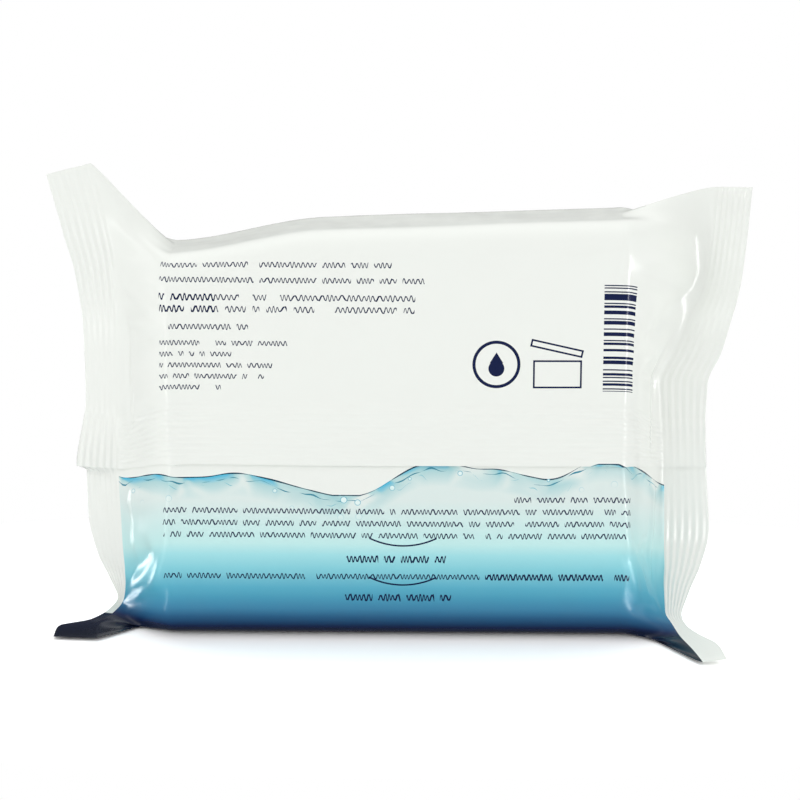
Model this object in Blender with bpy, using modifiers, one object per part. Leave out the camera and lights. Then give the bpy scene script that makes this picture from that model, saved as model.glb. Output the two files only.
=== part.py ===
"""Wet wipes pack: a printed film pouch sealed round a folded stack, standing on its long edge.

The film is one tube: it is lapped and sealed along the back, and pressed flat into a crimped
fin at each end. The sealed pouch with its stack is one solid. The peel-back closing flap,
glued over the opening on the front, is the other.

Units are metres. X runs along the pack, the back of the pack faces -Y and +Z is up.
"""

import bmesh
import bpy
import numpy as np

MM = 0.001

# The block of folded wipes inside the film
BLOCK_LENGTH = 119 * MM
PACK_HEIGHT = 110 * MM
FOOT_THICKNESS = 39 * MM
HEAD_THICKNESS = 33 * MM
HEAD_LEAN = 4.5 * MM
EDGE_RADIUS = 8.5 * MM
FACE_BULGE = 1.2 * MM

# The stack has slipped down a little inside the film at the left
TOP_DIP = 5 * MM
TOP_DIP_RUN = 40 * MM
TOP_DIP_DEPTH = 42 * MM
TOP_RISE = 4.7 * MM

# The end seals: two layers of film pressed into ridged fins
FIN_WIDTH = 12 * MM
FIN_THICKNESS = 0.8 * MM
RIDGE_PITCH = 2 * MM
RIDGE_DEPTH = 0.25 * MM

# The back seal, a fin of film folded down on to the back
LAP_WIDTH = 17 * MM
LAP_EDGE_HEIGHT = 48 * MM
LAP_THICKNESS = 0.7 * MM
LAP_LIFT = 0.6 * MM
LAP_STEP = 0.5 * MM
LAP_ROUND = 1.2 * MM

# The ends between block and seal
END_LENGTH = 15 * MM
EAR_DEPTH = 20 * MM
EAR_RISE = 15 * MM
SLOPE_PULL = 18 * MM
EAR_LENGTH = 24 * MM
PLEAT_DEPTH = 0.5 * MM
PLEAT_PITCH = 11 * MM
TABLE_CLEARANCE = 0.4 * MM

# The closing flap on the front
FLAP_LENGTH = 92 * MM
FLAP_HEIGHT = 56 * MM
FLAP_CORNER = 13 * MM
FLAP_TAB = 8 * MM
FLAP_TAB_WIDTH = 26 * MM
FLAP_THICKNESS = 0.35 * MM
FLAP_GAP = 0.3 * MM

# How finely the forms are divided
BLOCK_STEPS = 12
SLOPE_STEPS = 8
FIN_STEPS = 12
FOOT_STEPS = 3
EDGE_STEPS = 5
LOWER_FACE_STEPS = 7
LAP_STEPS = 4
UPPER_FACE_STEPS = 8
FLAP_COLUMNS = 20
FLAP_ROWS = 16

HALF_LENGTH = BLOCK_LENGTH / 2
BACK = -1
FRONT = 1

# Guide points of each end seal, from its lower tip to its upper one. A row holds:
# - the place on the seal: 0 is the lower tip, 1 meets the lap's free edge, 2 is the upper tip
# - the root's distance beyond the block, in END_LENGTHs, and its depth, in EAR_DEPTHs
# - its height, in EAR_RISEs below place 1, in PACK_HEIGHTs above it
# - the fin's outward, depth and upward parts, where 1 is its full width
# - how far the film keeps the fin's direction before it turns to the block, in END_LENGTHs
# The lower ears are pressed forward on to the table, and the upper ones stand free.
LEFT_SEAL = (
    (0.00, 1.37, -1.04, 0.06, 0.95, 0.08, 0.00, 0.35),
    (0.13, 1.40, -0.55, 0.08, 0.88, -0.10, 0.00, 0.35),
    (0.21, 1.30, -0.38, 0.11, 0.30, -0.02, 0.00, 0.35),
    (0.29, 1.14, -0.20, 0.18, 0.15, 0.08, 0.00, 0.40),
    (0.39, 0.99, -0.05, 0.32, 0.14, 0.16, 0.00, 0.50),
    (0.50, 0.95, -0.02, 0.68, 0.42, 0.40, 0.00, 0.65),
    (0.60, 0.98, -0.01, 1.05, 0.64, 0.58, 0.00, 0.80),
    (0.75, 1.02, 0.03, 1.80, 0.80, 0.60, 0.00, 0.90),
    (0.94, 1.05, 0.03, 2.62, 0.78, 0.62, 0.00, 0.90),
    (1.00, 1.05, 0.03, 0.386, 0.95, 0.20, 0.00, 0.90),
    (1.28, 1.02, 0.05, 0.55, 0.80, 0.55, 0.00, 0.90),
    (1.52, 1.02, 0.05, 0.73, 0.82, 0.50, -0.05, 0.90),
    (1.73, 1.07, 0.08, 0.88, 0.90, 0.30, -0.12, 0.80),
    (1.86, 1.20, 0.10, 0.99, 0.96, 0.10, -0.22, 0.55),
    (2.00, 1.45, 0.10, 1.14, 0.98, 0.00, -0.25, 0.25),
)
RIGHT_SEAL = (
    (0.00, 1.43, -1.86, 0.06, 0.50, -0.06, 0.10, 0.40),
    (0.12, 1.32, -1.48, 0.09, 0.52, 0.03, 0.14, 0.40),
    (0.25, 1.14, -1.06, 0.15, 0.37, 0.00, 0.08, 0.45),
    (0.33, 1.04, -0.82, 0.23, 0.27, 0.05, 0.03, 0.45),
    (0.42, 0.91, -0.58, 0.42, 0.36, -0.04, 0.00, 0.50),
    (0.52, 0.91, -0.33, 0.80, 0.56, -0.10, -0.08, 0.65),
    (0.60, 0.93, -0.16, 1.15, 0.80, 0.02, -0.06, 0.75),
    (0.72, 0.93, 0.00, 1.65, 1.00, 0.08, 0.00, 0.90),
    (1.00, 0.89, 0.00, 0.400, 0.93, 0.00, 0.00, 0.90),
    (1.22, 0.85, 0.00, 0.52, 0.92, -0.10, 0.00, 0.90),
    (1.35, 0.81, 0.00, 0.61, 0.98, -0.18, 0.00, 0.90),
    (1.48, 1.05, 0.00, 0.69, 0.95, -0.25, 0.00, 0.90),
    (1.58, 1.25, 0.00, 0.765, 0.85, -0.45, 0.00, 0.90),
    (1.72, 1.53, 0.03, 0.86, 0.68, -0.65, 0.00, 0.90),
    (1.86, 1.64, 0.06, 0.972, 0.66, -0.68, 0.00, 1.20),
    (2.00, 1.71, 0.10, 1.092, 0.66, -0.70, 0.12, 1.90),
)


def seal_guides(end):
    """Return the seal's places and, at each, the root point, the fin's width vector and the pull."""
    rows = np.array(LEFT_SEAL if end < 0 else RIGHT_SEAL)
    places, beyond, depth, height = rows[:, :4].T
    fin = rows[:, 4:7] * (end, 1, 1) * FIN_WIDTH
    root = np.column_stack((
        end * (HALF_LENGTH + beyond * END_LENGTH),
        depth * EAR_DEPTH,
        height * np.where(places < 1, EAR_RISE, PACK_HEIGHT),
    ))
    return places, np.hstack((root, fin, rows[:, 7:] * END_LENGTH))


def smooth_rows(knots, rows, places):
    """Read curves through the rows at the places, without swinging past any of them."""
    secants = np.diff(rows, axis=0) / np.diff(knots)[:, None]
    product = np.maximum(secants[:-1] * secants[1:], 0)
    inner = 2 * product / np.where(product > 0, secants[:-1] + secants[1:], 1)
    slopes = np.vstack((secants[:1], inner, secants[-1:]))
    index = np.clip(np.searchsorted(knots, places, side="right") - 1, 0, len(knots) - 2)
    span = (knots[index + 1] - knots[index])[:, None]
    step = (places - knots[index])[:, None] / span
    return hermite(rows[index], slopes[index] * span, rows[index + 1], slopes[index + 1] * span, step)


def hermite(start, start_pull, finish, finish_pull, step):
    """Blend from start to finish, leaving along start_pull and arriving along finish_pull."""
    square = step * step
    cube = square * step
    return (
        (2 * cube - 3 * square + 1) * start
        + (cube - 2 * square + step) * start_pull
        + (3 * square - 2 * cube) * finish
        + (cube - square) * finish_pull
    )


def ease(value):
    """Rise smoothly from 0 to 1."""
    value = np.clip(value, 0, 1)
    return value * value * (3 - 2 * value)


def unit(vectors):
    return vectors / np.linalg.norm(vectors, axis=-1, keepdims=True)


def sag(points):
    """Let the upper part of the block down at the left, and up towards the right."""
    x, z = points[:, 0], points[:, 2]
    from_left = (x + HALF_LENGTH) / TOP_DIP_RUN
    drop = TOP_DIP * (1 - ease(from_left)) - TOP_RISE * x / BLOCK_LENGTH
    upper = ease(1 - (PACK_HEIGHT - z) / TOP_DIP_DEPTH)
    return points - np.column_stack((0 * x, 0 * x, drop * upper))


def section_corners(side):
    foot = np.array((side * FOOT_THICKNESS / 2, 0.0))
    head = np.array((HEAD_LEAN + side * HEAD_THICKNESS / 2, PACK_HEIGHT))
    return foot, head


def section_points(side, x, places):
    """Return the points and outward normals of half a cross-section of the block.

    Places count along it from the middle of the foot: 0 to 1 is the flat foot, 1 to 2 the
    lower edge, 2 to 3 the face, 3 to 4 the upper edge and 4 to 5 the flat top.
    """
    foot, head = section_corners(side)
    wall = (head - foot) / np.linalg.norm(head - foot)
    turn = np.arccos(side * wall[0])
    foot_cut = EDGE_RADIUS * np.tan(turn / 2)
    head_cut = EDGE_RADIUS * np.tan((np.pi - turn) / 2)
    inward = np.array((-side * np.sin(turn), np.cos(turn)))
    foot_centre = foot - (side * foot_cut, 0) + (0, EDGE_RADIUS)
    head_centre = head - wall * head_cut + inward * EDGE_RADIUS
    foot_middle = np.array((0.0, 0.0))
    top_middle = np.array((HEAD_LEAN, PACK_HEIGHT))

    piece = np.clip(places.astype(int), 0, 4)
    part = (places - piece)[:, None]
    angle = np.choose(piece, (0 * places, turn * (places - 1), turn + 0 * places,
                              turn + (np.pi - turn) * (places - 3), np.pi + 0 * places))
    outward = np.column_stack((side * np.sin(angle), -np.cos(angle)))
    centre = np.where(piece[:, None] < 2, foot_centre, head_centre)
    rounds = centre + EDGE_RADIUS * outward
    foot_end = foot - (side * foot_cut, 0)
    head_end = head - (side * head_cut, 0)
    face = foot + wall * foot_cut + (head - foot - wall * (foot_cut + head_cut)) * part
    flats = (foot_middle + (foot_end - foot_middle) * part, rounds, face, rounds,
             head_end + (top_middle - head_end) * part)
    points = np.zeros((len(places), 2))
    for number, candidate in enumerate(flats):
        points = np.where(piece[:, None] == number, candidate, points)

    along = 1 - (2 * x / BLOCK_LENGTH) ** 2
    swell = np.where(piece == 2, np.sin(np.pi * (places - 2)), 0) * FACE_BULGE * along
    points = points + outward * swell[:, None]
    spread = np.full((len(places), 1), x)
    flat = np.zeros((len(places), 1))
    return sag(np.hstack((spread, points))), np.hstack((flat, outward))


def face_place(height):
    """Return the place on a face at a height above the table."""
    return 2 + (height - EDGE_RADIUS) / (PACK_HEIGHT - 2 * EDGE_RADIUS)


def lap_places():
    """Places of the lap: the back below its edge, its edge, its shoulder and its fold."""
    fold = LAP_EDGE_HEIGHT + LAP_WIDTH
    return [face_place(h) for h in (LAP_EDGE_HEIGHT - LAP_STEP, LAP_EDGE_HEIGHT, fold - LAP_ROUND, fold)]


def girth_places():
    """Places round half the girth, closer together at the edges and at the lap."""
    below, edge, shoulder, fold = lap_places()
    return np.concatenate((
        np.linspace(0, 1, FOOT_STEPS + 1),
        np.linspace(1, 2, EDGE_STEPS + 1)[1:],
        np.linspace(2, below, LOWER_FACE_STEPS + 1)[1:],
        np.linspace(edge, shoulder, LAP_STEPS + 1),
        np.linspace(fold, 3, UPPER_FACE_STEPS + 1),
        np.linspace(3, 4, EDGE_STEPS + 1)[1:],
        np.linspace(4, 5, FOOT_STEPS + 1)[1:],
    ))


def lap_height(places):
    """How far the folded back seal stands off the back at each place."""
    below, edge, shoulder, fold = lap_places()
    heights = (0, LAP_THICKNESS + LAP_LIFT, LAP_THICKNESS, LAP_THICKNESS, 0)
    return np.interp(places, (below, edge, (edge + shoulder) / 2, shoulder, fold), heights)


def girth_length(places):
    """Length along half the girth, from the middle of the foot, at the middle of the block."""
    points, _ = section_points(BACK, 0.0, places)
    steps = np.linalg.norm(np.diff(points, axis=0), axis=1)
    return np.concatenate(([0], np.cumsum(steps)))


def seal_places(places):
    """Where each place on the girth meets the seal: 0 lower tip, 1 lap's edge, 2 upper tip."""
    length = girth_length(places)
    edge = np.interp(lap_places()[1], places, length)
    return np.interp(length, (0, edge, length[-1]), (0, 1, 2))


def seal_frame(end, meets):
    """Return the seal's root, fin, backward normal and pull where the film meets it."""
    rows = smooth_rows(*seal_guides(end), meets)
    root, fin, pull = rows[:, :3], rows[:, 3:6], rows[:, 6:]
    climb = np.gradient(root, axis=0)
    normal = unit(np.cross(fin, climb)) * end
    return root, fin, normal, pull


def half_thickness(meets):
    """Half of the fin's thickness, closing to nothing at the folded tips."""
    return np.where((meets > 0) & (meets < 2), FIN_THICKNESS / 2, 0)[:, None]


def from_tips(places):
    """Distance along the film from the nearer of the two folded tips."""
    length = girth_length(places)
    return np.minimum(length, length[-1] - length)


def pleats(places, step):
    """Shallow folds that gather the film between the block's corners and the ears."""
    distance = from_tips(places)
    near = np.exp(-((distance - EAR_LENGTH) / EAR_LENGTH) ** 2)
    wave = np.cos(2 * np.pi * distance / PLEAT_PITCH)
    return (PLEAT_DEPTH * near * wave * np.sin(np.pi * step))[:, None]


def slope_points(end, side, places, step):
    """Points of half a ring between the block (step 0) and the seal's root (step 1)."""
    meets = seal_places(places)
    start, outward = section_points(side, end * HALF_LENGTH, places)
    root, fin, normal, pull = seal_frame(end, meets)
    finish = root - side * normal * half_thickness(meets)
    away = ease(from_tips(places) / EAR_LENGTH)[:, None]
    leave = np.array((end, 0, 0)) * SLOPE_PULL * (0.25 + 0.75 * away)
    arrive = unit(fin) * pull
    points = hermite(start, leave, finish, arrive, step)
    normals = unit(outward * (1 - step) - side * normal * step)
    return points + normals * pleats(places, step), normals


def fin_points(end, side, places, reach):
    """Points of half a ring in the fin, at a share of its width beyond the seal's root."""
    meets = seal_places(places)
    root, fin, normal, _ = seal_frame(end, meets)
    ridge = RIDGE_DEPTH * np.sin(2 * np.pi * reach * FIN_WIDTH / RIDGE_PITCH + np.pi / 4)
    points = root + fin * reach + normal * ridge
    return points - side * normal * half_thickness(meets), -side * normal


def ring(half):
    """Join the back half and the front half of a ring, which share their two ends."""
    places = girth_places()
    back, normals = half(BACK, places)
    back = back + normals * lap_height(places)[:, None]
    front, _ = half(FRONT, places)
    rounds = np.vstack((back, front[-2:0:-1]))
    floor = np.full(len(rounds), TABLE_CLEARANCE)
    floor[1:len(places) - 1] += FIN_THICKNESS
    return rounds, floor


def film_rings():
    """All rings of the film from the left fin's cut edge to the right fin's."""
    reaches = np.linspace(1, 0, FIN_STEPS + 1)
    steps = np.linspace(1, 0, SLOPE_STEPS + 1)[1:-1]
    ends = []
    for end in (-1, 1):
        rings = [ring(lambda side, places, r=reach: fin_points(end, side, places, r)) for reach in reaches]
        rings += [ring(lambda side, places, s=step: slope_points(end, side, places, s)) for step in steps]
        ends.append([np.column_stack((r[:, :2], np.maximum(r[:, 2], floor))) for r, floor in rings])
    stations = np.linspace(-HALF_LENGTH, HALF_LENGTH, BLOCK_STEPS + 1)
    block = [ring(lambda side, places, x=x: section_points(side, x, places))[0] for x in stations]
    return ends[0] + block + ends[1][::-1]


def loft(name, rings):
    """Skin a row of closed rings and close the two flat ends between their halves."""
    mesh = bpy.data.meshes.new(name)
    bm = bmesh.new()
    rows = [[bm.verts.new(point) for point in points] for points in rings]
    count = len(rows[0])
    for near, far in zip(rows, rows[1:]):
        for a in range(count):
            b = (a + 1) % count
            bm.faces.new((near[a], near[b], far[b], far[a]))
    for row in (rows[0], rows[-1]):
        half = count // 2
        bm.faces.new((row[0], row[1], row[-1]))
        for a in range(1, half - 1):
            bm.faces.new((row[a], row[a + 1], row[-a - 1], row[-a]))
        bm.faces.new((row[half - 1], row[half], row[half + 1]))
    bmesh.ops.recalc_face_normals(bm, faces=bm.faces)
    bm.to_mesh(mesh)
    bm.free()
    mesh.shade_smooth()
    mesh.set_sharp_from_angle(angle=np.radians(50))
    return bpy.data.objects.new(name, mesh)


def make_film_pack():
    pack = loft("film_pack", film_rings())
    pack.data.materials.append(material("glossy_white_film", (0.86, 0.89, 0.87), 0.28))
    return pack


def make_reseal_flap():
    """A thin flap with round corners and a pull tab, lying on the front of the film."""
    bpy.ops.mesh.primitive_grid_add(x_subdivisions=FLAP_COLUMNS, y_subdivisions=FLAP_ROWS, size=2)
    flap = bpy.context.object
    flap.name = "reseal_flap"
    middle = PACK_HEIGHT / 2
    for vertex in flap.data.vertices:
        x = np.sin(vertex.co.x * np.pi / 2) * FLAP_LENGTH / 2
        into_corner = max(abs(x) - (FLAP_LENGTH / 2 - FLAP_CORNER), 0)
        shoulder = FLAP_CORNER - np.sqrt(max(FLAP_CORNER ** 2 - into_corner ** 2, 0))
        z = vertex.co.y * (FLAP_HEIGHT / 2 - shoulder)
        tongue = 1 - ease(2 * abs(z) / FLAP_TAB_WIDTH)
        x += FLAP_TAB * tongue * ease((x - FLAP_LENGTH / 4) * 4 / FLAP_LENGTH)
        place = np.array((face_place(middle + z),))
        point, normal = section_points(FRONT, x, place)
        vertex.co = (point + normal * FLAP_GAP)[0]
    layer = flap.modifiers.new("film thickness", "SOLIDIFY")
    layer.thickness = FLAP_THICKNESS
    layer.offset = -1
    flap.data.materials.append(material("white_label_film", (0.9, 0.92, 0.92), 0.35))
    return flap


def material(name, colour, roughness):
    made = bpy.data.materials.new(name)
    made.use_nodes = True
    shader = made.node_tree.nodes["Principled BSDF"]
    shader.inputs["Base Color"].default_value = (*colour, 1)
    shader.inputs["Roughness"].default_value = roughness
    shader.inputs["Metallic"].default_value = 0
    return made


def place_on_origin(parts):
    """Centre the parts' common box on the origin in X and Y."""
    bpy.context.view_layer.update()
    corners = [part.matrix_world @ vertex.co for part in parts for vertex in part.data.vertices]
    low = np.min(corners, axis=0)
    high = np.max(corners, axis=0)
    for part in parts:
        part.location.x -= (low[0] + high[0]) / 2
        part.location.y -= (low[1] + high[1]) / 2


def main():
    for old in list(bpy.data.objects):
        bpy.data.objects.remove(old)
    collection = bpy.data.collections.new("wet_wipes_pack")
    bpy.context.scene.collection.children.link(collection)
    parts = (make_film_pack(), make_reseal_flap())
    for part in parts:
        for holder in part.users_collection:
            holder.objects.unlink(part)
        collection.objects.link(part)
    place_on_origin(parts)


main()
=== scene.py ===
"""Wet wipes pack: the printed film pouch, its closing flap and a plain studio stage.

The film is one sheet: a tube that is lapped along the back, drawn round the folded stack and
pressed flat into a crimped fin at each end. It is skinned here at a fine step over the same
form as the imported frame's, and gets its ridges, gathers and creases from its own mesh.

Units are metres, in the frame's axes: X runs along the pack, its back faces -Y and +Z is up.
"""

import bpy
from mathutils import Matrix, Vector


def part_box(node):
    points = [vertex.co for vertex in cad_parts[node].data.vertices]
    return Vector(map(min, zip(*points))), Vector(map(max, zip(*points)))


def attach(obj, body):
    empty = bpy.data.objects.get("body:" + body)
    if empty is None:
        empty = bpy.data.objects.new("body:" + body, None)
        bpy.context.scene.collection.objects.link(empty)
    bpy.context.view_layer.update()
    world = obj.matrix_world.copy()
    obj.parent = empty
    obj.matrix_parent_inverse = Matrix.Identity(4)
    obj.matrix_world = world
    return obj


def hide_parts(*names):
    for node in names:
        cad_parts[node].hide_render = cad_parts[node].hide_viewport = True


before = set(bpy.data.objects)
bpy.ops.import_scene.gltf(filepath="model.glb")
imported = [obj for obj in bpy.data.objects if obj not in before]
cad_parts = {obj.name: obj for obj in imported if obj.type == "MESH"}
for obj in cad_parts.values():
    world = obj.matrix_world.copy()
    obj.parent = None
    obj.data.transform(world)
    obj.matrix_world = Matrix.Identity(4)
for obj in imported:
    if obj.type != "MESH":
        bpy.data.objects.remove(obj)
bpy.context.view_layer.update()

from functools import partial

import bmesh
import bpy
import numpy as np
from mathutils import Matrix, Vector

bl_info = {
    "name": "Wet wipes pack",
    "version": (1, 0, 0),
    "blender": (4, 5, 0),
    "location": "3D View > Sidebar > Wipes",
    "description": "Film pack of wet wipes with crimped ends, a back seal and a closing flap",
    "category": "Add Mesh",
}

MM = 0.001
BACK = -1
FRONT = 1

# The block of folded wipes inside the film
BLOCK_LENGTH = 119 * MM
HALF_LENGTH = BLOCK_LENGTH / 2
PACK_HEIGHT = 110 * MM
FOOT_THICKNESS = 39 * MM
HEAD_THICKNESS = 33 * MM
HEAD_LEAN = 4.5 * MM
EDGE_RADIUS = 8.5 * MM
FACE_BULGE = 1.2 * MM

# The stack has slipped down a little inside the film at the left
TOP_DIP = 5 * MM
TOP_DIP_RUN = 40 * MM
TOP_DIP_DEPTH = 42 * MM
TOP_RISE = 4.7 * MM

# The end seals and the back seal
FIN_WIDTH = 12 * MM
LAP_WIDTH = 17 * MM
LAP_EDGE_HEIGHT = 48 * MM
LAP_THICKNESS = 0.5 * MM
LAP_LIFT = 0.35 * MM
LAP_ROUND = 3.5 * MM
LAP_OVERHANG = 0.35 * MM
LAP_STEP = 0.08 * MM

# The ends between block and seal
END_LENGTH = 15 * MM
SLOPE_LENGTH = 21 * MM
EAR_DEPTH = 20 * MM
EAR_RISE = 15 * MM
SLOPE_PULL = 18 * MM
EAR_LENGTH = 24 * MM
PLEAT_DEPTH = 0.5 * MM
PLEAT_PITCH = 11 * MM
TABLE_CLEARANCE = 0.4 * MM

# Guide points of each end seal, from its lower tip to its upper one. A row holds:
# - the place on the seal: 0 is the lower tip, 1 meets the lap's free edge, 2 is the upper tip
# - the root's distance beyond the block, in END_LENGTHs, and its depth, in EAR_DEPTHs
# - its height, in EAR_RISEs below place 1, in PACK_HEIGHTs above it
# - the fin's outward, depth and upward parts, where 1 is its full width
# - how far the film keeps the fin's direction before it turns to the block, in END_LENGTHs
LEFT_SEAL = (
    (0.00, 1.37, -1.04, 0.06, 0.95, 0.08, 0.00, 0.35),
    (0.13, 1.40, -0.55, 0.08, 0.88, -0.10, 0.00, 0.35),
    (0.21, 1.30, -0.38, 0.11, 0.30, -0.02, 0.00, 0.35),
    (0.29, 1.14, -0.20, 0.18, 0.15, 0.08, 0.00, 0.40),
    (0.39, 0.99, -0.05, 0.32, 0.14, 0.16, 0.00, 0.50),
    (0.50, 0.95, -0.02, 0.68, 0.42, 0.40, 0.00, 0.65),
    (0.60, 0.98, -0.01, 1.05, 0.64, 0.58, 0.00, 0.80),
    (0.75, 1.02, 0.03, 1.80, 0.80, 0.60, 0.00, 0.90),
    (0.94, 1.05, 0.03, 2.62, 0.78, 0.62, 0.00, 0.90),
    (1.00, 1.05, 0.03, 0.386, 0.95, 0.20, 0.00, 0.90),
    (1.28, 1.02, 0.05, 0.55, 0.80, 0.55, 0.00, 0.90),
    (1.52, 1.02, 0.05, 0.73, 0.82, 0.50, -0.05, 0.90),
    (1.73, 1.07, 0.08, 0.88, 0.90, 0.30, -0.12, 0.80),
    (1.86, 1.20, 0.10, 0.99, 0.96, 0.10, -0.22, 0.55),
    (2.00, 1.45, 0.10, 1.14, 0.98, 0.00, -0.25, 0.25),
)
RIGHT_SEAL = (
    (0.00, 1.43, -1.86, 0.06, 0.50, -0.06, 0.10, 0.40),
    (0.12, 1.32, -1.48, 0.09, 0.52, 0.03, 0.14, 0.40),
    (0.25, 1.14, -1.06, 0.15, 0.37, 0.00, 0.08, 0.45),
    (0.33, 1.04, -0.82, 0.23, 0.27, 0.05, 0.03, 0.45),
    (0.42, 0.91, -0.58, 0.42, 0.36, -0.04, 0.00, 0.50),
    (0.52, 0.91, -0.33, 0.80, 0.56, -0.10, -0.08, 0.65),
    (0.60, 0.93, -0.16, 1.15, 0.80, 0.02, -0.06, 0.75),
    (0.72, 0.93, 0.00, 1.65, 1.00, 0.08, 0.00, 0.90),
    (1.00, 0.89, 0.00, 0.400, 0.93, 0.00, 0.00, 0.90),
    (1.22, 0.85, 0.00, 0.52, 0.92, -0.10, 0.00, 0.90),
    (1.35, 0.81, 0.00, 0.61, 0.98, -0.18, 0.00, 0.90),
    (1.48, 1.05, 0.00, 0.69, 0.95, -0.25, 0.00, 0.90),
    (1.58, 1.25, 0.00, 0.765, 0.85, -0.45, 0.00, 0.90),
    (1.72, 1.53, 0.03, 0.86, 0.68, -0.65, 0.00, 0.90),
    (1.86, 1.64, 0.06, 0.972, 0.66, -0.68, 0.00, 1.20),
    (2.00, 1.71, 0.10, 1.092, 0.66, -0.70, 0.12, 1.90),
)

# Creases of the film, in millimetres: from one point of the sheet (along, up the girth) to
# another, half the crease's width and its height, where a valley is below 0
CREASES = (
    # The block's upright edges, which show through the film as crisp ridges
    (-60, 58, -60, 122, 1.8, 0.45),
    (-58, 70, -62, 38, 1.7, 0.6),
    (60, 56, 60, 122, 1.8, 0.45),
    (59.5, 66, 63, 38, 1.7, 0.75),
    # The folds that run from the block's lower corners out along the ears, and the hollows
    # above them
    (-61, 44, -65, 27, 1.8, 0.55),
    (-62, 37, -68, 28, 1.5, 0.45),
    (-66, 30, -84, 22, 1.3, 0.7),
    (-66, 42, -80, 34, 3.6, -1.0),
    (62, 44, 67, 27, 1.6, 0.7),
    (64, 42, 72, 27, 1.2, 0.6),
    (70, 31, 84, 20, 1.3, 0.7),
    (68, 44, 80, 32, 3.4, -1.0),
    # Tension lines from the upper corners to the seals
    (-80, 118, -62, 106, 1.8, 0.35),
    (-79, 106, -64, 98, 1.6, -0.25),
    (80, 124, 66, 94, 1.8, -0.5),
    (77, 130, 62, 112, 2.0, 0.4),
    (76, 104, 64, 86, 1.5, 0.25),
    (-56, 112, -20, 118, 2.2, 0.16),
    (56, 116, 30, 121, 2.0, 0.16),
    # Folds along the roots of the seals
    (77, 106, 74, 64, 1.1, -0.6),
    (74.5, 62, 73, 32, 1.0, 0.5),
    (-76, 108, -74, 72, 1.2, -0.4),
    (-74, 60, -73, 36, 1.1, 0.35),
    # The front's
    (-60, 160, -60, 236, 1.8, 0.4),
    (60, 160, 60, 236, 1.8, 0.4),
    (-80, 152, -61, 170, 1.8, 0.4),
    (-78, 168, -63, 182, 1.6, -0.25),
    (80, 152, 62, 172, 1.8, 0.4),
    (78, 168, 63, 184, 1.6, -0.3),
    (-79, 232, -61, 250, 2.0, 0.4),
    (79, 230, 61, 248, 2.0, 0.4),
    (54, 160, 26, 166, 2.2, 0.16),
    (-54, 168, -30, 163, 2.2, 0.16),
)

# The crimp: its ridges press in by more or less along the seal, and hardly at all in the ears
CRIMP_UNEVEN = 0.4
CRIMP_SWELL = 9.4
EAR_CRIMP = 0.05

# Lengths of the waves that add up to the gathers and to the slack of the film, the seed of
# their phases, and how many turns a metre along the pack shifts them
GATHERS = (11, (7.3 * MM, 9.7 * MM, 13.1 * MM, 19 * MM), 4)
SLACK = (5, (23 * MM, 31 * MM, 47 * MM), 14)
WAVE_TILT = 0.35

# The back seal's ridges are deepest near the block's ends
LAP_MIDDLE_DEPTH = 0.35

# Steps of the skin
FIN_STEPS = 48
SLOPE_STEPS = 42
BLOCK_STEPS = 102
FLAP_COLUMNS = 96
FLAP_ROWS = 64


def linear(code):
    """Turn an sRGB hex colour into linear values."""
    values = [int(code[at:at + 2], 16) / 255 for at in (1, 3, 5)]
    return tuple(v / 12.92 if v <= 0.04045 else ((v + 0.055) / 1.055) ** 2.4 for v in values)


def length_property(name, description, default):
    """A length that the maker may change."""
    return bpy.props.FloatProperty(
        name=name, description=description, default=default, min=0, unit="LENGTH", precision=5)


def colour_property(name, description, code):
    """A colour that the maker may change, given as sRGB hex."""
    return bpy.props.FloatVectorProperty(
        name=name, description=description, default=linear(code), min=0, max=1, size=3,
        subtype="COLOR")


def angle_property(name, description, degrees):
    """An angle that the maker may change, given in degrees."""
    return bpy.props.FloatProperty(
        name=name, description=description, default=np.radians(degrees), subtype="ANGLE")


class WipesFilmSettings(bpy.types.PropertyGroup):
    """Sizes and colours of the printed film."""

    fin_thickness: length_property(
        "Fin thickness", "Thickness of the two sealed layers in an end fin", 0.4 * MM)
    crimp_pitch: length_property("Crimp pitch", "Distance between the ridges of an end fin", 2 * MM)
    crimp_depth: length_property("Crimp depth", "Height of a ridge in an end fin", 0.14 * MM)
    lap_pitch: length_property(
        "Back seal pitch", "Distance between the ridges of the back seal", 1.65 * MM)
    lap_depth: length_property("Back seal depth", "Height of a ridge in the back seal", 0.09 * MM)
    gather_depth: length_property(
        "Gathers", "Height of the gathers between block and fin", 0.28 * MM)
    slack_depth: length_property("Slack", "Height of the slow waves of loose film", 0.12 * MM)
    white: colour_property("Film white", "Unprinted white film", "#EDF0EB")
    ink: colour_property("Ink", "Dark blue of the printed rows and signs", "#141F47")
    water_light: colour_property("Water, light", "Print below the water line", "#DCE9E6")
    water_middle: colour_property("Water, middle", "Print half-way down the water", "#A3E0E6")
    water_blue: colour_property("Water, blue", "Print near the lower edge", "#4A9CBB")
    water_deep: colour_property("Water, deep", "Print on the lower edge and underneath", "#16284F")
    water_edge: colour_property("Water edge", "Cyan under the water line", "#08B2BE")
    water_glint: colour_property("Water glint", "Bright cyan on the crests", "#0FB4E0")


class WipesFlapSettings(bpy.types.PropertyGroup):
    """Sizes and colours of the closing flap."""

    length: length_property("Length", "Length along the pack, without its tab", 92 * MM)
    height: length_property("Height", "Height of the flap", 56 * MM)
    corner: length_property("Corner", "Radius of its corners", 13 * MM)
    tab: length_property("Tab", "How far the pull tab stands out", 8 * MM)
    tab_width: length_property("Tab width", "Width of the pull tab at its root", 26 * MM)
    thickness: length_property("Thickness", "Thickness of the label film", 0.18 * MM)
    gap: length_property("Gap", "Distance from the film's mean face to the flap's top", 0.42 * MM)
    lift: length_property("Lift", "How far the pull tab's tip stands off", 0.6 * MM)
    white: colour_property("Label white", "White of the label", "#F1F4F2")
    band: colour_property("Label band", "Pale blue printed towards its lower edge", "#A6DDE6")
    line: colour_property("Label line", "Printed line inside its edge", "#2B6F98")


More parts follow.
